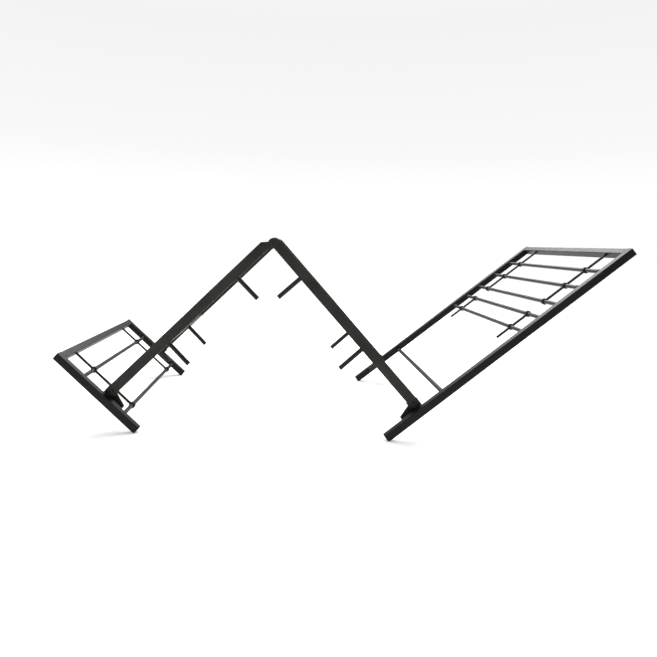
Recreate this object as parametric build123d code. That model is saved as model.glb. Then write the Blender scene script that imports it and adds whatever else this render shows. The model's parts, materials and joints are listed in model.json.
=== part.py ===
from build123d import *
import math
import os

# Folding climbing frame: a short ladder, two hinged beams that make an A, and a long ladder.
# X runs from the short ladder to the long one, Y from the near side to the far side, Z is up.
# The origin is under the middle of the whole frame, on the ground. Lengths in millimetres.

# Overall sizes
FRAME_WIDTH = 1310.0
LEFT_LENGTH = 570.0
RIGHT_LENGTH = 1623.0
LEFT_TILT = 41.0
RIGHT_TILT = 39.0
LEFT_REACH = 1160.0
RIGHT_REACH = 1138.0
LEFT_BEAM_ANGLE = 45.35

# Square rails and the bar across their top ends
RAIL = 40.0
RAIL_WALL = 2.0
RAIL_EDGE = 3.0

# Round rungs, tie bar and rods
RUNG = 22.0
RUNG_WALL = 2.0
LEFT_RUNGS = [393.7, 100.8]
RIGHT_RUNGS = [1442.5, 1299.7, 1152.0, 1036.0, 915.0]
TIE_PLACE = 378.0
TIE_WIDTH = 24.0
TIE_THICK = 6.0
ROD = 14.0
ROD_INSET = 215.0
ROD_TAIL = 99.0
COLLAR = 35.0
COLLAR_WIDTH = 20.0
COLLAR_EDGE = 2.0
SHORT_RUNGS = {"left": {1: 16.0}, "right": {1: 44.0, 2: 44.0}}
RUNG_CAP = 25.0
RUNG_CAP_LENGTH = 16.0

# Beams, with a folded beam lying above the ladder's rungs
BEAM_HEIGHT = 54.0
BEAM_WIDTH = 30.0
BEAM_WALL = 2.5
BEAM_EDGE = 2.4
BEAM_SIDE_GAP = 2.0
LEFT_PIVOT = 232.0
RIGHT_PIVOT = 220.0
FOLD_GAP = 8.0

# Apex hinge: a solid tongue in the left beam, between the two lobes of the right one
APEX_DROP = 22.0
APEX_END = 28.0
APEX_CORNER = 40.0
APEX_HEAD = 24.0
APEX_SLOT = 30.0
TONGUE_CUT = 32.0
TONGUE_ROOT = 80.0
TONGUE_EYE = 17.0
SLEEVE = 16.0
SLEEVE_BORE = 11.0
FLANGE = 24.0
FLANGE_THICK = 2.0

# Hanging legs and cross bars
LEG = 24.0
LEG_WALL = 2.0
LEG_LENGTH = 150.0
LEG_PLACES = {
    "left": {"upper": 256.0, "lower": 765.0},
    "right": {"upper": 238.0, "lower": 741.0},
}
CROSS_BAR = 22.0

# Brackets that hold the beams' lower ends
BRACKET_WALL = 6.0
BRACKET_FLOOR = 14.0
BRACKET_TOE = 106.0
BRACKET_HEEL = 30.0
BRACKET_HEAD = 20.0
STOP_BELOW = 14.0
STOP_ABOVE = 18.0

# Lower pivot bolts
BOLT = 12.0
BOLT_HEAD = 19.0
BOLT_HEAD_THICK = 7.0
NUT = 20.0
NUT_THICK = 8.0
WASHER = 26.0
BUSH = 20.0
BOLT_TAIL = 3.0

# Caps
FOOT_THICK = 10.0
SOLE_TRIM = 5.0
CAP_THICK = 2.0
PLUG_LENGTH = 22.0
PLUG_WALL = 3.0
TIP_THICK = 4.0
TIP_PLUG = 14.0

# Clearances
CLEAR = 0.3
RUN_FIT = 0.05
SADDLE_FIT = 0.1

HANDS = ["near", "far"]


def direction(angle):
    return Vector(math.cos(math.radians(angle)), 0, math.sin(math.radians(angle)))


def member_plane(origin, along, up):
    """Plane with x along a member and y towards its upper or outer face."""
    return Plane(origin=origin, x_dir=along, z_dir=along.cross(up))


def inset_start(hand, inset, width):
    """World Y where a layer starts that lies inset from the frame's outer face."""
    if hand == "near":
        return -FRAME_WIDTH / 2 + inset
    return FRAME_WIDTH / 2 - inset - width


def across(plane, profile, start, width):
    """Profile in a member's plane, extruded along Y from start."""
    low = start if plane.z_dir.Y > 0 else -(start + width)
    return plane * (Pos(0, 0, low) * extrude(profile, width, dir=(0, 0, 1)))


def layer(plane, profile, hand, inset, width):
    return across(plane, profile, inset_start(hand, inset, width), width)


def box_profile(low_x, high_x, low_y, high_y):
    width, height = high_x - low_x, high_y - low_y
    return Pos((low_x + high_x) / 2, (low_y + high_y) / 2) * Rectangle(width, height)


def disc(x, y, diameter, bore=0.0):
    face = Pos(x, y) * Circle(diameter / 2)
    if bore:
        face = face - Pos(x, y) * Circle(bore / 2)
    return face


# The feet's lowest corners are cut level, so each rail's own corner stands above the ground.
left_rise = FOOT_THICK * math.sin(math.radians(LEFT_TILT)) - SOLE_TRIM
right_rise = FOOT_THICK * math.sin(math.radians(RIGHT_TILT)) - SOLE_TRIM
pivot_height = RAIL / 2 + RUNG / 2 + FOLD_GAP + BEAM_HEIGHT / 2

left_up = direction(90 - LEFT_TILT)
left_along = direction(180 - LEFT_TILT)
right_up = direction(90 + RIGHT_TILT)
right_along = direction(RIGHT_TILT)


def pivot_from_corner(along, up, place):
    return along * place + up * pivot_height


# Heights of the lower pivots and of the apex, then the right beam's angle that meets the apex.
left_pivot_up = left_rise + pivot_from_corner(left_along, left_up, LEFT_PIVOT).Z
right_pivot_up = right_rise + pivot_from_corner(right_along, right_up, RIGHT_PIVOT).Z
left_beam_along = direction(LEFT_BEAM_ANGLE)
left_beam_out = direction(LEFT_BEAM_ANGLE + 90)
apex_from_left = left_beam_along * LEFT_REACH - left_beam_out * APEX_DROP
apex_up = left_pivot_up + apex_from_left.Z
span = math.hypot(RIGHT_REACH, APEX_DROP)
lean = math.degrees(math.asin((apex_up - right_pivot_up) / span))
right_beam_angle = lean + math.degrees(math.atan2(APEX_DROP, RIGHT_REACH))
right_beam_along = direction(180 - right_beam_angle)
right_beam_out = direction(90 - right_beam_angle)
apex_from_right = right_beam_along * RIGHT_REACH - right_beam_out * APEX_DROP

# Everything is first measured from the left rail's lower corner, then centred in X.
left_pivot_x = pivot_from_corner(left_along, left_up, LEFT_PIVOT).X
apex_x = left_pivot_x + apex_from_left.X
right_pivot_x = apex_x - apex_from_right.X
right_corner_x = right_pivot_x - pivot_from_corner(right_along, right_up, RIGHT_PIVOT).X
left_end_x = (left_along * (LEFT_LENGTH + CAP_THICK)).X
right_end_x = right_corner_x + (right_along * (RIGHT_LENGTH + CAP_THICK)).X
shift = -(left_end_x + right_end_x) / 2

left_plane = member_plane(Vector(shift, 0, left_rise), left_along, left_up)
right_plane = member_plane(Vector(right_corner_x + shift, 0, right_rise), right_along, right_up)
left_beam_plane = member_plane(
    Vector(left_pivot_x + shift, 0, left_pivot_up), left_beam_along, left_beam_out
)
right_beam_plane = member_plane(
    Vector(right_pivot_x + shift, 0, right_pivot_up), right_beam_along, right_beam_out
)

beam_inset = RAIL + BRACKET_WALL + BEAM_SIDE_GAP
cheek_inset = beam_inset + BEAM_WIDTH + BEAM_SIDE_GAP
beam_half = BEAM_HEIGHT / 2
inner_width = BEAM_WIDTH - 2 * BEAM_WALL
inner_half = beam_half - BEAM_WALL
ground = Pos(0, 0, -50) * Box(4 * RIGHT_LENGTH, 2 * FRAME_WIDTH, 100)

sides = {
    "left": dict(
        plane=left_plane, length=LEFT_LENGTH, rungs=LEFT_RUNGS, pivot=LEFT_PIVOT,
        beam_plane=left_beam_plane, reach=LEFT_REACH,
    ),
    "right": dict(
        plane=right_plane, length=RIGHT_LENGTH, rungs=RIGHT_RUNGS, pivot=RIGHT_PIVOT,
        beam_plane=right_beam_plane, reach=RIGHT_REACH,
    ),
}

nodes = {}


def soften_long_edges(solid, along, radius):
    """Solid with its straight edges parallel to a direction rounded."""
    edges = [e for e in solid.edges() if e.geom_type == GeomType.LINE]
    edges = [e for e in edges if abs(abs((e % 0).dot(along)) - 1) < 1e-6]
    return fillet(edges, radius)


def rail(side, hand):
    """Square tube with rounded corners."""
    outer = box_profile(0, side["length"], 0, RAIL)
    body = layer(side["plane"], outer, hand, 0, RAIL)
    body = soften_long_edges(body, side["plane"].x_dir, RAIL_EDGE)
    inner = box_profile(-1, side["length"] + 1, RAIL_WALL, RAIL - RAIL_WALL)
    core = layer(side["plane"], inner, hand, RAIL_WALL, RAIL - 2 * RAIL_WALL)
    return body - soften_long_edges(core, side["plane"].x_dir, RAIL_EDGE - RAIL_WALL)


def end_cap(side, hand, at_foot):
    """Rubber foot or flat top cap, with a hollow plug pushed into the rail."""
    end = 0.0 if at_foot else side["length"]
    turn = -1 if at_foot else 1
    thick = FOOT_THICK if at_foot else CAP_THICK
    low, high = sorted([end, end + turn * thick])
    cap = layer(side["plane"], box_profile(low, high, 0, RAIL), hand, 0, RAIL)
    cap = soften_long_edges(cap, side["plane"].x_dir, RAIL_EDGE)
    if at_foot:
        cap = cap - ground
    low, high = sorted([end, end - turn * PLUG_LENGTH])
    plug = layer(
        side["plane"], box_profile(low, high, RAIL_WALL, RAIL - RAIL_WALL),
        hand, RAIL_WALL, RAIL - 2 * RAIL_WALL,
    )
    plug = soften_long_edges(plug, side["plane"].x_dir, RAIL_EDGE - RAIL_WALL)
    core_low, core_high = sorted([end - turn * PLUG_WALL, end - turn * (PLUG_LENGTH + 1)])
    core_wall = RAIL_WALL + PLUG_WALL
    core = layer(
        side["plane"], box_profile(core_low, core_high, core_wall, RAIL - core_wall),
        hand, core_wall, RAIL - 2 * core_wall,
    )
    return cap + (plug - core)


def cross_tube(plane, x, y, diameter, wall, inset):
    width = FRAME_WIDTH - 2 * inset
    return across(plane, disc(x, y, diameter, diameter - 2 * wall), -width / 2, width)


def top_bar(side):
    end = side["length"]
    outer = box_profile(end - RAIL, end, 0, RAIL)
    inner = box_profile(end - RAIL + RAIL_WALL, end - RAIL_WALL, RAIL_WALL, RAIL - RAIL_WALL)
    width = FRAME_WIDTH - 2 * RAIL
    outer = fillet(outer.vertices(), RAIL_EDGE)
    inner = fillet(inner.vertices(), RAIL_EDGE - RAIL_WALL)
    return across(side["plane"], outer - inner, -width / 2, width)


def rod(side, hand, ends, places):
    """Straight rod in one run between each pair of ends, with a collar round each rung."""
    plane, level = side["plane"], RAIL / 2
    middle = inset_start(hand, ROD_INSET, 0)
    depth = middle if plane.z_dir.Y > 0 else -middle
    solids = []
    for place in places:
        ring = disc(place, level, COLLAR, RUNG + 2 * SADDLE_FIT)
        collar = across(plane, ring, middle - COLLAR_WIDTH / 2, COLLAR_WIDTH)
        rims = [e for e in collar.edges().filter_by(GeomType.CIRCLE) if e.radius > RUNG / 2 + COLLAR_EDGE]
        solids.append(fillet(rims, COLLAR_EDGE))
    for high, low in zip(ends[::2], ends[1::2]):
        start = Plane(origin=(low, level, depth), x_dir=(0, 1, 0), z_dir=(1, 0, 0))
        solids.append(plane * (start * extrude(Circle(ROD / 2), high - low)))
    return solids[0].fuse(*solids[1:])


def rung(name, side, number):
    """Rung between the rails; some stop short of the near rail and end in a cap there."""
    short = SHORT_RUNGS[name].get(number, 0.0)
    start = -FRAME_WIDTH / 2 + RAIL + short
    profile = disc(side["rungs"][number - 1], RAIL / 2, RUNG, RUNG - 2 * RUNG_WALL)
    return across(side["plane"], profile, start, FRAME_WIDTH / 2 - RAIL - start)


def rung_cap(name, side, number):
    x, y = side["rungs"][number - 1], RAIL / 2
    end = -FRAME_WIDTH / 2 + RAIL + SHORT_RUNGS[name][number]
    cap = across(side["plane"], disc(x, y, RUNG_CAP), end - RUNG_CAP_LENGTH, RUNG_CAP_LENGTH)
    plug = disc(x, y, RUNG - 2 * RUNG_WALL - 2 * RUN_FIT)
    return cap + across(side["plane"], plug, end, RUNG_CAP_LENGTH)


def bracket(side, hand):
    """Channel welded to the rail's inner face, with a stop that the beam stands against."""
    plane, pivot = side["plane"], side["pivot"]
    toe, heel = pivot - BRACKET_TOE, pivot + BRACKET_HEEL
    top = pivot_height + BRACKET_HEAD
    depth = cheek_inset + BRACKET_WALL - RAIL
    cheek = Polygon(
        (toe, BRACKET_FLOOR), (toe, RAIL), (pivot - beam_half - CLEAR, pivot_height),
        (pivot - BRACKET_HEAD, top), (pivot + BRACKET_HEAD - 2, top), (heel, pivot_height + 4),
        (heel, BRACKET_FLOOR), align=None,
    )
    cheek = cheek - disc(pivot, pivot_height, BOLT + 2 * RUN_FIT)
    solid = layer(plane, cheek, hand, cheek_inset, BRACKET_WALL)
    low_cheek = box_profile(toe, heel, BRACKET_FLOOR, RAIL)
    solid += layer(plane, low_cheek, hand, RAIL, BRACKET_WALL)
    floor = box_profile(toe, heel, BRACKET_FLOOR, BRACKET_FLOOR + BRACKET_WALL)
    solid += layer(plane, floor, hand, RAIL, depth)
    end_web = box_profile(toe, toe + BRACKET_WALL, BRACKET_FLOOR, RAIL)
    solid += layer(plane, end_web, hand, RAIL, depth)
    face = -beam_half - CLEAR
    stop = box_profile(-STOP_BELOW, STOP_ABOVE, face - BRACKET_WALL, face)
    stop_inset = beam_inset - BEAM_SIDE_GAP
    stop_depth = cheek_inset + BRACKET_WALL - stop_inset
    return solid + layer(side["beam_plane"], stop, hand, stop_inset, stop_depth)


def pivot_bolt(side, hand):
    plane, x, y = side["plane"], side["pivot"], pivot_height
    washer_thick = BEAM_SIDE_GAP - CLEAR
    head_face = beam_inset - CLEAR - washer_thick
    tail = cheek_inset + BRACKET_WALL + NUT_THICK + BOLT_TAIL
    head = Pos(x, y) * RegularPolygon(BOLT_HEAD / 2, 6)
    solid = layer(plane, head, hand, head_face - BOLT_HEAD_THICK, BOLT_HEAD_THICK)
    return solid + layer(plane, disc(x, y, BOLT), hand, head_face, tail - head_face)


def pivot_nut(side, hand):
    x, y = side["pivot"], pivot_height
    face = Pos(x, y) * RegularPolygon(NUT / 2, 6) - disc(x, y, BOLT + 2 * RUN_FIT)
    return layer(side["plane"], face, hand, cheek_inset + BRACKET_WALL, NUT_THICK)


def pivot_washers(side, hand):
    thick = BEAM_SIDE_GAP - CLEAR
    ring = disc(side["pivot"], pivot_height, WASHER, BOLT + 2 * RUN_FIT)
    outside = layer(side["plane"], ring, hand, beam_inset - CLEAR - thick, thick)
    return [outside, layer(side["plane"], ring, hand, cheek_inset - thick, thick)]


def pivot_bush(side, hand):
    ring = disc(0, 0, BUSH, BOLT + 2 * RUN_FIT)
    return layer(side["beam_plane"], ring, hand, beam_inset + BEAM_WALL, inner_width)


def beam_outline(end, half, round_half):
    """Beam seen from the side: a round lower end about the pivot, a square upper end."""
    return box_profile(0, end, -half, half) + disc(0, 0, 2 * round_half)


def hollow_beam(side, hand, outline, inner):
    solid = layer(side["beam_plane"], outline, hand, beam_inset, BEAM_WIDTH)
    middle = inset_start(hand, beam_inset + BEAM_WIDTH / 2, 0)
    rims = [e for e in solid.edges() if abs(abs(e.center().Y - middle) - BEAM_WIDTH / 2) < CLEAR]
    solid = fillet(rims, BEAM_EDGE)
    solid -= layer(side["beam_plane"], inner, hand, beam_inset + BEAM_WALL, inner_width)
    bore = disc(0, 0, BOLT + 2 * RUN_FIT)
    return solid - layer(side["beam_plane"], bore, hand, beam_inset, BEAM_WIDTH)


def left_beam(hand):
    side = sides["left"]
    end = side["reach"] - TONGUE_CUT
    outline = beam_outline(end, beam_half, beam_half)
    inner = beam_outline(end + 1, inner_half, inner_half)
    return hollow_beam(side, hand, outline, inner)


def tongue(hand):
    """Solid tongue that fills the left beam's end and carries the eye of the apex hinge."""
    side = sides["left"]
    reach = side["reach"]
    cut = reach - TONGUE_CUT
    width = inner_width - 2 * CLEAR
    neck = make_hull(
        [*disc(reach, -APEX_DROP, 2 * TONGUE_EYE).edges(),
         *box_profile(cut, cut + 1, -inner_half, inner_half).edges()]
    )
    profile = box_profile(cut - TONGUE_ROOT, cut, -inner_half, inner_half) + neck
    profile -= disc(reach, -APEX_DROP, SLEEVE + 2 * RUN_FIT)
    return layer(side["beam_plane"], profile, hand, beam_inset + BEAM_WALL + CLEAR, width)


def right_beam(hand):
    side = sides["right"]
    reach = side["reach"]
    end = reach + APEX_END
    outline = beam_outline(end, beam_half, beam_half)
    corner = outline.vertices().sort_by_distance((end, beam_half, 0))[0]
    outline = fillet(corner, APEX_CORNER)
    outline += disc(reach, -APEX_DROP, 2 * APEX_HEAD)
    low_end = box_profile(reach, end + 1, -beam_half - 1, -APEX_DROP)
    outline -= low_end - disc(reach, -APEX_DROP, 2 * APEX_HEAD)
    inner = beam_outline(end - BEAM_WALL, inner_half, inner_half)
    corner = inner.vertices().sort_by_distance((end - BEAM_WALL, inner_half, 0))[0]
    inner = fillet(corner, APEX_CORNER - BEAM_WALL)
    slot = Polygon(
        (reach - APEX_SLOT, -2 * beam_half), (end + 1, -2 * beam_half), (end + 1, 2 * beam_half),
        (end - TONGUE_CUT / 3, 2 * beam_half), (reach, 0), (reach - APEX_SLOT, 0), align=None,
    )
    solid = hollow_beam(side, hand, outline, inner)
    solid -= layer(side["beam_plane"], slot, hand, beam_inset + BEAM_WALL, inner_width)
    bore = disc(reach, -APEX_DROP, SLEEVE + 2 * RUN_FIT)
    return solid - layer(side["beam_plane"], bore, hand, beam_inset, BEAM_WIDTH)


def apex_sleeve(hand):
    """Hollow pin with a flange on each side of the right beam."""
    plane, x, y = right_beam_plane, RIGHT_REACH, -APEX_DROP
    ring = disc(x, y, SLEEVE, SLEEVE_BORE)
    flange = disc(x, y, FLANGE, SLEEVE_BORE)
    solid = layer(plane, ring, hand, beam_inset, BEAM_WIDTH)
    solid += layer(plane, flange, hand, beam_inset - FLANGE_THICK, FLANGE_THICK)
    return solid + layer(plane, flange, hand, beam_inset + BEAM_WIDTH, FLANGE_THICK)


def leg_parts(side, place, middle, top):
    """Tubular leg that hangs from the beam's inner side at world Y middle, and its tip cap."""
    x = side["reach"] - place
    plane = side["beam_plane"]
    depth = middle if plane.z_dir.Y > 0 else -middle
    foot = -beam_half - LEG_LENGTH
    axis = Plane(origin=(x, foot, depth), x_dir=(1, 0, 0), z_dir=(0, 1, 0))
    ring = disc(0, 0, LEG, LEG - 2 * LEG_WALL)
    tube = plane * (axis * extrude(ring, top - foot))
    tip = plane * (axis * extrude(disc(0, 0, LEG), -TIP_THICK))
    tip += plane * (axis * extrude(disc(0, 0, LEG - 2 * LEG_WALL - 2 * RUN_FIT), TIP_PLUG))
    return tube, tip


# Ladders: rails, caps, bars, rungs and brackets
for name, side in sides.items():
    for hand in HANDS:
        nodes[f"{name}_rail_{hand}"] = rail(side, hand)
        nodes[f"{name}_foot_{hand}"] = end_cap(side, hand, True)
        nodes[f"{name}_bracket_{hand}"] = bracket(side, hand)
        nodes[f"{name}_pivot_bolt_{hand}"] = pivot_bolt(side, hand)
    nodes[f"{name}_top_bar"] = top_bar(side)
    nodes[f"{name}_top_caps"] = Compound([end_cap(side, hand, False) for hand in HANDS])
    for number in range(1, len(side["rungs"]) + 1):
        nodes[f"{name}_rung_{number}"] = rung(name, side, number)
    nodes[f"{name}_rung_caps"] = Compound(
        [rung_cap(name, side, number) for number in SHORT_RUNGS[name]]
    )
    nodes[f"{name}_pivot_nuts"] = Compound([pivot_nut(side, hand) for hand in HANDS])
    nodes[f"{name}_pivot_washers"] = Compound(
        [ring for hand in HANDS for ring in pivot_washers(side, hand)]
    )
    nodes[f"{name}_pivot_bushes"] = Compound([pivot_bush(side, hand) for hand in HANDS])

tie_low = RAIL / 2 - TIE_THICK / 2
nodes["right_tie_bar"] = across(
    right_plane,
    box_profile(TIE_PLACE - TIE_WIDTH / 2, TIE_PLACE + TIE_WIDTH / 2, tie_low, tie_low + TIE_THICK),
    -FRAME_WIDTH / 2 + RAIL, FRAME_WIDTH - 2 * RAIL,
)

# Rods: two pairs on the right ladder, one on the left
rod_end = (RUNG + COLLAR) / 4


def rod_ends(places):
    """Ends of the rod's runs, which stop inside the collars' walls."""
    return [place + turn * rod_end for place in places for turn in (1, -1)]


upper_places, lower_places = RIGHT_RUNGS[:3], RIGHT_RUNGS[3:]
upper_ends = [RIGHT_LENGTH - RAIL, *rod_ends(upper_places)[:-1]]
lower_ends = [*rod_ends(lower_places)[1:], lower_places[-1] - ROD_TAIL]
left_ends = [LEFT_LENGTH - RAIL, *rod_ends(LEFT_RUNGS)[:-1]]
for hand in HANDS:
    nodes[f"right_upper_rod_{hand}"] = rod(sides["right"], hand, upper_ends, upper_places)
    nodes[f"right_lower_rod_{hand}"] = rod(sides["right"], hand, lower_ends, lower_places)
    nodes[f"left_rod_{hand}"] = rod(sides["left"], hand, left_ends, LEFT_RUNGS)

# Beams, tongues and the apex hinge
for hand in HANDS:
    nodes[f"left_beam_{hand}"] = left_beam(hand)
    nodes[f"right_beam_{hand}"] = right_beam(hand)
    nodes[f"apex_tongue_{hand}"] = tongue(hand)
    nodes[f"apex_sleeve_{hand}"] = apex_sleeve(hand)

# Cross bars between the beams, and the legs
cross_drop = -beam_half + CROSS_BAR / 2
for name, side in sides.items():
    x = side["reach"] - LEG_PLACES[name]["lower"]
    nodes[f"{name}_cross_bar"] = cross_tube(
        side["beam_plane"], x, cross_drop, CROSS_BAR, RUNG_WALL, beam_inset + BEAM_WIDTH
    )
    near_middle = inset_start("near", beam_inset + BEAM_WIDTH / 2, 0)
    tips = []
    for label, place in LEG_PLACES[name].items():
        tube, tip = leg_parts(side, place, near_middle, -beam_half)
        nodes[f"{name}_leg_{label}"] = tube
        tips.append(tip)
    tube, tip = leg_parts(side, LEG_PLACES[name]["lower"], 0, cross_drop)
    saddle = across(
        side["beam_plane"], disc(x, cross_drop, CROSS_BAR + 2 * SADDLE_FIT), -LEG, 2 * LEG
    )
    nodes[f"{name}_leg_middle"] = tube - saddle
    nodes[f"{name}_leg_tips"] = Compound([*tips, tip])

os.makedirs("parts", exist_ok=True)
for name, shape in nodes.items():
    export_step(shape, f"parts/{name}.step")

print(len(nodes), "nodes")
for label, plane, x, y in [
    ("left pivot", left_plane, LEFT_PIVOT, pivot_height),
    ("right pivot", right_plane, RIGHT_PIVOT, pivot_height),
    ("apex pivot", right_beam_plane, RIGHT_REACH, -APEX_DROP),
    ("apex pivot from the left", left_beam_plane, LEFT_REACH, -APEX_DROP),
]:
    print(label, plane.from_local_coords(Vector(x, y, 0)))
print("right beam angle", right_beam_angle)
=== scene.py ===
import bpy
import json
import math
from mathutils import Matrix, Vector


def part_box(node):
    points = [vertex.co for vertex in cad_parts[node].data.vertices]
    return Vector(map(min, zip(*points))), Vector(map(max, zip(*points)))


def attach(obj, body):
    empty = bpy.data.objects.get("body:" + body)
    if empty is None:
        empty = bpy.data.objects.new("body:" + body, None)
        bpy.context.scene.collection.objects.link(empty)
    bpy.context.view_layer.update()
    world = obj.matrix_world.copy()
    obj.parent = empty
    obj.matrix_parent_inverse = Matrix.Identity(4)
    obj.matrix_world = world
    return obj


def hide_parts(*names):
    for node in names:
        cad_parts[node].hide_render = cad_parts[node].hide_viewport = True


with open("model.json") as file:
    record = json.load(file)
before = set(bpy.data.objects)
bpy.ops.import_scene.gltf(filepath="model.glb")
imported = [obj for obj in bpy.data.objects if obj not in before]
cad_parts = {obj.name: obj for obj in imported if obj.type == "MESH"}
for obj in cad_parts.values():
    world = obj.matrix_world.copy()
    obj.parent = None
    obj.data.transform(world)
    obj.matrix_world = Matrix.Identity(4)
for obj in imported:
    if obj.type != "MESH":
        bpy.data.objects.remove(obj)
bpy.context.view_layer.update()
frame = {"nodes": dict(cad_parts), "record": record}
scene = bpy.context.scene
print("stage: frame loaded")

nodes = frame["nodes"]
bodyNodes = frame["record"]["behaviour"]["bodies"]
bodyOf = {node: body for body, names in bodyNodes.items() for node in names}
slotOf = {row["node"]: row["material_slot"] for row in frame["record"]["subparts"]}


# shader maths: a wrapped socket with operators, and one method for every other node
class Wire:
    def __init__(self, tree, socket):
        self.tree = tree
        self.socket = socket

    def math(self, operation, first, second=0.0, clamp=False):
        return addNode(
            self.tree, "ShaderNodeMath", {"operation": operation, "use_clamp": clamp},
            {0: first, 1: second},
        )

    def __add__(self, other):
        return self.math("ADD", self, other)

    def __sub__(self, other):
        return self.math("SUBTRACT", self, other)

    def __rsub__(self, other):
        return self.math("SUBTRACT", other, self)

    def __mul__(self, other):
        return self.math("MULTIPLY", self, other)

    __radd__ = __add__
    __rmul__ = __mul__

    def clamped(self):
        return self.math("ADD", self, 0.0, clamp=True)


def addNode(tree, kind, settings=None, inputs=None, output=0):
    node = tree.nodes.new(kind)
    for name, value in (settings or {}).items():
        if name == "ramp":
            for spot, (place, colour) in enumerate(value):
                if spot > 1:
                    node.color_ramp.elements.new(place)
                node.color_ramp.elements[spot].position = place
                node.color_ramp.elements[spot].color = (*colour, 1)
        else:
            setattr(node, name, value)
    for name, value in (inputs or {}).items():
        if isinstance(value, Wire):
            tree.links.new(value.socket, node.inputs[name])
        else:
            node.inputs[name].default_value = value
    return Wire(tree, node.outputs[output])


def newMaterial(name):
    material = bpy.data.materials.new(name)
    material.use_nodes = True
    tree = material.node_tree
    shader = tree.nodes["Principled BSDF"]
    place = addNode(tree, "ShaderNodeTexCoord", output=3)
    return material, tree, shader, place


def plug(tree, wire, shader, name):
    tree.links.new(wire.socket, shader.inputs[name])


def noise(tree, place, scale, detail, rough=0.55):
    return addNode(
        tree, "ShaderNodeTexNoise", {},
        {"Vector": place, "Scale": scale, "Detail": detail, "Roughness": rough},
    )


def mixColour(tree, mask, first, second):
    return addNode(
        tree, "ShaderNodeMix", {"data_type": "RGBA"}, {0: mask, 6: first, 7: second}, output=2
    )


def stretched(wire, start, gain):
    return ((wire - start) * gain).clamped()


def addBump(tree, shader, strength, distance, height):
    bump = addNode(
        tree, "ShaderNodeBump", {},
        {"Strength": strength, "Distance": distance, "Height": height},
    )
    plug(tree, bump, shader, "Normal")


# powder coat: fine orange peel, soft mottling, dusty scuffs and a few rubbed spots
powderCoats = {
    "rail_paint": dict(dark=(0.0020, 0.0017, 0.0014), pale=(0.0070, 0.0060, 0.0048),
                       worn=(0.040, 0.036, 0.030), rough=0.42, peel=0.10, shine=0.18),
    "beam_paint": dict(dark=(0.010, 0.0095, 0.0075), pale=(0.026, 0.0245, 0.0195),
                       worn=(0.075, 0.070, 0.058), rough=0.44, peel=0.12, shine=0.24),
    "rung_paint": dict(dark=(0.0050, 0.0048, 0.0045), pale=(0.015, 0.0145, 0.0138),
                       worn=(0.060, 0.058, 0.054), rough=0.40, peel=0.08, shine=0.24),
}


coatTexture = dict(
    patchScale=9.0, mottleGain=2.2, grainScale=240.0, peelScale=420.0, peelDepth=0.0006,
    scuffScale=46.0, scuffRough=0.7, scuffStart=0.62, scuffGain=7.0, scuffWear=0.45, grainWear=0.2,
)


def powderCoat(name):
    look, texture = powderCoats[name], coatTexture
    material, tree, shader, place = newMaterial(name)
    patch = noise(tree, place, texture["patchScale"], 4.0)
    grain = noise(tree, place, texture["grainScale"], 2.0)
    scuff = noise(tree, place, texture["scuffScale"], 5.0, texture["scuffRough"])
    mottle = ((patch - 0.5) * texture["mottleGain"] + 0.5).clamped()
    coat = mixColour(tree, mottle, (*look["dark"], 1), (*look["pale"], 1))
    rubbed = stretched(scuff, texture["scuffStart"], texture["scuffGain"])
    wear = (rubbed * texture["scuffWear"] + (grain - 0.5) * texture["grainWear"]).clamped()
    coat = mixColour(tree, wear, coat, (*look["worn"], 1))
    plug(tree, coat, shader, "Base Color")
    unevenness = patch * 0.12 + (grain - 0.5) * 0.10 + rubbed * 0.10
    plug(tree, unevenness + (look["rough"] - 0.06), shader, "Roughness")  # keeps the mean rough
    peel = addNode(
        tree, "ShaderNodeTexVoronoi", {"feature": "SMOOTH_F1"},
        {"Vector": place, "Scale": texture["peelScale"]},
    )
    addBump(tree, shader, look["peel"], texture["peelDepth"], peel * 0.7 + grain * 0.5)
    shader.inputs["Specular IOR Level"].default_value = look["shine"]
    return material


# bolts, nuts and washers: dark plated steel with faint stains
steelLook = dict(
    base=(0.060, 0.057, 0.054), dull=(0.022, 0.021, 0.020), rough=0.36, metal=0.9, shine=0.2,
    stainScale=120.0, stainStart=0.42, stainGain=3.0, scratchScale=900.0,
    scratchBump=0.12, scratchDepth=0.0003,
)


def plainSteel(name):
    look = steelLook
    material, tree, shader, place = newMaterial(name)
    stain = noise(tree, place, look["stainScale"], 4.0)
    scratch = noise(tree, place, look["scratchScale"], 2.0)
    stained = stretched(stain, look["stainStart"], look["stainGain"])
    colour = mixColour(tree, stained, (*look["dull"], 1), (*look["base"], 1))
    plug(tree, colour, shader, "Base Color")
    plug(tree, stain * 0.25 + scratch * 0.1 + (look["rough"] - 0.12), shader, "Roughness")
    addBump(tree, shader, look["scratchBump"], look["scratchDepth"], scratch)
    shader.inputs["Metallic"].default_value = look["metal"]
    shader.inputs["Specular IOR Level"].default_value = look["shine"]
    return material


# feet, caps and bushes: dull rubber or plastic that holds some dust
mouldedLooks = {
    "foot_rubber": dict(dark=(0.004, 0.004, 0.004), dusty=(0.018, 0.017, 0.015),
                        rough=0.78, grain=300.0),
    "cap_plastic": dict(dark=(0.005, 0.0045, 0.004), dusty=(0.016, 0.015, 0.014),
                        rough=0.50, grain=520.0),
    "bush_plastic": dict(dark=(0.030, 0.030, 0.030), dusty=(0.060, 0.060, 0.058),
                         rough=0.45, grain=520.0),
}
mouldedTexture = dict(dustScale=34.0, dustGain=3.0, grainBump=0.25, grainDepth=0.0004, shine=0.2)


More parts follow.
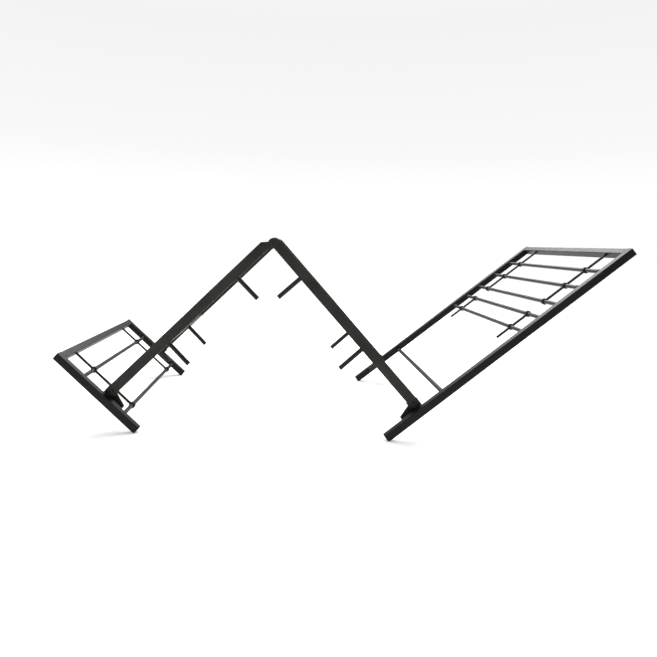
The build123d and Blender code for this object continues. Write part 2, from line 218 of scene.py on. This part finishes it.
def moulded(name):
    look, texture = mouldedLooks[name], mouldedTexture
    material, tree, shader, place = newMaterial(name)
    dust = noise(tree, place, texture["dustScale"], 5.0)
    grain = noise(tree, place, look["grain"], 2.0)
    dusted = stretched(dust, 0.5, texture["dustGain"])
    colour = mixColour(tree, dusted, (*look["dark"], 1), (*look["dusty"], 1))
    plug(tree, colour, shader, "Base Color")
    plug(tree, dust * 0.14 + (look["rough"] - 0.07), shader, "Roughness")
    addBump(tree, shader, texture["grainBump"], texture["grainDepth"], grain)
    shader.inputs["Specular IOR Level"].default_value = texture["shine"]
    return material


# painted weld metal, a little rougher than the tubes
weldPaintLook = dict(
    dark=(0.012, 0.011, 0.010), pale=(0.045, 0.042, 0.038), rough=0.34,
    burnScale=150.0, burnStart=0.4, burnGain=2.5, burnBump=0.3, burnDepth=0.0006,
)


def weldMetal(name):
    look = weldPaintLook
    material, tree, shader, place = newMaterial(name)
    burn = noise(tree, place, look["burnScale"], 4.0)
    burnt = stretched(burn, look["burnStart"], look["burnGain"])
    colour = mixColour(tree, burnt, (*look["dark"], 1), (*look["pale"], 1))
    plug(tree, colour, shader, "Base Color")
    plug(tree, burn * 0.2 + look["rough"], shader, "Roughness")
    addBump(tree, shader, look["burnBump"], look["burnDepth"], burn)
    return material


materials = {name: powderCoat(name) for name in powderCoats}
materials.update({name: moulded(name) for name in mouldedLooks})
materials["fastener_steel"] = plainSteel("fastener_steel")
weldPaint = weldMetal("weld_paint")
print("stage: materials made")


def dressNode(node):
    shape = nodes[node]
    shape.data.materials.clear()
    shape.data.materials.append(materials[slotOf[node]])


for node in nodes:
    dressNode(node)


def deselectAll():
    bpy.ops.object.select_all(action="DESELECT")


def makeActive(piece):
    deselectAll()
    piece.select_set(True)
    bpy.context.view_layer.objects.active = piece


# eased copies: hard-edged pieces get a small broken edge, as pressed and cut steel has
easedEdges = {
    "bracket": dict(width=0.0009, segments=2),
    "foot": dict(width=0.0018, segments=3),
    "top_caps": dict(width=0.0007, segments=2),
    "rung_caps": dict(width=0.0014, segments=3),
    "leg_tips": dict(width=0.0011, segments=3),
    "bolt": dict(width=0.0010, segments=2),
    "nuts": dict(width=0.0010, segments=2),
    "washers": dict(width=0.0003, segments=1),
    "sleeve": dict(width=0.0005, segments=2),
    "tie_bar": dict(width=0.0012, segments=2),
}


easing = dict(merge=0.00001, flatAngle=1.0, bevelAngle=40, smoothAngle=35)


def easeNode(node, look):
    source = nodes[node]
    piece = source.copy()
    piece.data = source.data.copy()
    piece.parent = None
    piece.matrix_world = Matrix.Identity(4)
    piece.name = node + "_eased"
    scene.collection.objects.link(piece)
    makeActive(piece)
    bpy.ops.object.mode_set(mode="EDIT")
    bpy.ops.mesh.select_all(action="SELECT")
    bpy.ops.mesh.remove_doubles(threshold=easing["merge"])
    bpy.ops.mesh.dissolve_limited(angle_limit=math.radians(easing["flatAngle"]))
    bpy.ops.object.mode_set(mode="OBJECT")
    bevel = piece.modifiers.new("easedEdge", "BEVEL")
    bevel.width = look["width"]
    bevel.segments = look["segments"]
    bevel.limit_method = "ANGLE"
    bevel.angle_limit = math.radians(easing["bevelAngle"])
    bpy.ops.object.modifier_apply(modifier="easedEdge")
    bpy.ops.object.shade_smooth_by_angle(angle=math.radians(easing["smoothAngle"]))
    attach(piece, bodyOf[node])
    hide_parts(node)


for node in nodes:
    for part, look in easedEdges.items():
        if part in node:
            easeNode(node, look)
            break
print("stage: edges eased")


# weld beads: a rippled ring where a round tube meets a flat face
weldLook = dict(bead=0.0024, seat=0.35, ripples=26, depth=0.00035, sides=10, sink=0.0004)


def weldRing(name, radius, centre, axis):
    bpy.ops.mesh.primitive_torus_add(
        major_radius=radius + weldLook["bead"] * weldLook["seat"], minor_radius=weldLook["bead"],
        major_segments=weldLook["ripples"] * 3, minor_segments=weldLook["sides"],
        location=(0, 0, 0),
    )
    ring = bpy.context.active_object
    ring.name = name
    for vertex in ring.data.vertices:
        turn = math.atan2(vertex.co.y, vertex.co.x)
        lift = 1 + weldLook["depth"] / radius * math.sin(turn * weldLook["ripples"])
        vertex.co.x *= lift
        vertex.co.y *= lift
        vertex.co.z *= 0.85 + 0.15 * math.sin(turn * weldLook["ripples"] + 1.2)  # uneven height
    turnTo = Vector((0, 0, 1)).rotation_difference(Vector(axis)).to_matrix().to_4x4()
    ring.data.transform(Matrix.Translation(centre) @ turnTo)
    for face in ring.data.polygons:
        face.use_smooth = True
    return ring


def joinPieces(pieces, name, body, material):
    deselectAll()
    for piece in pieces:
        piece.select_set(True)
    bpy.context.view_layer.objects.active = pieces[0]
    bpy.ops.object.join()
    whole = bpy.context.active_object
    whole.name = name
    whole.data.materials.clear()
    whole.data.materials.append(material)
    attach(whole, body)


def tubeEnds(node):
    low, high = (Vector(corner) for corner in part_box(node))
    centre = (low + high) / 2
    return [(Vector((centre.x, low.y, centre.z)), 1), (Vector((centre.x, high.y, centre.z)), -1)]


# a short rung ends in its cap near the viewer, so only its far end is welded
shortRungs = {"left_rung_1", "right_rung_1", "right_rung_2"}
tubeRadius = {"_rung_": 0.011, "cross_bar": 0.011}
for body, names in bodyNodes.items():
    rings = []
    for node in names:
        kind = next((part for part in tubeRadius if part in node), None)
        if not kind or "caps" in node:
            continue
        for spot, inward in tubeEnds(node):
            if node in shortRungs and inward > 0:
                continue
            centre = spot + Vector((0, inward * weldLook["sink"], 0))
            rings.append(weldRing("ring", tubeRadius[kind], centre, (0, 1, 0)))
    if rings:
        joinPieces(rings, body + "_tube_welds", body, weldPaint)
print("stage: welds laid")

# floor and light: a white sweep that reads as one with the background
floorLook = dict(size=60, middle=12, white=0.93, rough=0.9, shine=0.1, glow=0.30)
bpy.ops.mesh.primitive_plane_add(size=floorLook["size"], location=(0, floorLook["middle"], 0))
floor = bpy.context.active_object
floor.name = "studioFloor"
floorMaterial, _, floorShader, _ = newMaterial("studio_floor")
floorShader.inputs["Base Color"].default_value = (*[floorLook["white"]] * 3, 1)
floorShader.inputs["Roughness"].default_value = floorLook["rough"]
floorShader.inputs["Specular IOR Level"].default_value = floorLook["shine"]
floorShader.inputs["Emission Color"].default_value = (1, 1, 1, 1)
floorShader.inputs["Emission Strength"].default_value = floorLook["glow"]
floor.data.materials.append(floorMaterial)

skyLook = dict(seen=1.0, lights=0.42)  # brightness to the eye, and as a light
world = bpy.data.worlds.new("studioSky")
scene.world = world
world.use_nodes = True
worldTree = world.node_tree
background = worldTree.nodes["Background"]
rayHeight = addNode(
    worldTree, "ShaderNodeSeparateXYZ", {},
    {0: addNode(worldTree, "ShaderNodeTexCoord")}, output=2,
)
sweepShades = [(0.22, 1.0), (0.32, 0.946), (0.72, 0.896), (0.84, 0.908)]  # white, then greyer
sweepRamp = [(spot, (shade, shade, shade)) for spot, shade in sweepShades]
sweep = addNode(worldTree, "ShaderNodeValToRGB", {"ramp": sweepRamp}, {0: rayHeight * 2.0})
plug(worldTree, sweep, background, "Color")
cameraRay = addNode(worldTree, "ShaderNodeLightPath")
skyStrength = cameraRay * (skyLook["seen"] - skyLook["lights"]) + skyLook["lights"]
plug(worldTree, skyStrength, background, "Strength")


def aimAt(holder, place, aim):
    holder.location = place
    holder.rotation_euler = (Vector(aim) - Vector(place)).to_track_quat("-Z", "Y").to_euler()


softBoxes = {
    "overheadBox": dict(size=3.6, power=260, place=(0.5, 3.0, 4.0), aim=(0, 0, 0.4)),
    "frontBox": dict(size=3.0, power=26, place=(-3.2, -4.0, 2.4), aim=(0, 0, 0.4)),
}
for name, look in softBoxes.items():
    lamp = bpy.data.lights.new(name, "AREA")
    lamp.size = look["size"]
    lamp.energy = look["power"]
    holder = bpy.data.objects.new(name, lamp)
    holder.visible_camera = False
    scene.collection.objects.link(holder)
    aimAt(holder, look["place"], look["aim"])

sunLook = dict(strength=1.5, spread=28, place=(-1.6, 1.1, 3.6))
sun = bpy.data.lights.new("skylightSun", "SUN")
sun.energy = sunLook["strength"]
sun.angle = math.radians(sunLook["spread"])
sunHolder = bpy.data.objects.new("skylightSun", sun)
scene.collection.objects.link(sunHolder)
aimAt(sunHolder, sunLook["place"], (0, 0, 0))

cameraLook = dict(
    place=(-0.303, -3.5635, 1.024), roll=-1.87, lens=30.36, sensor=36, shift=(0.0601, -0.1301),
)
camera = bpy.data.cameras.new("viewCamera")
camera.lens = cameraLook["lens"]
camera.sensor_width = cameraLook["sensor"]
camera.shift_x, camera.shift_y = cameraLook["shift"]
cameraHolder = bpy.data.objects.new("viewCamera", camera)
scene.collection.objects.link(cameraHolder)
cameraHolder.location = cameraLook["place"]
cameraHolder.rotation_euler = (math.radians(90), math.radians(cameraLook["roll"]), 0)
scene.camera = cameraHolder
scene.view_settings.view_transform = "Standard"
print("stage: studio set")
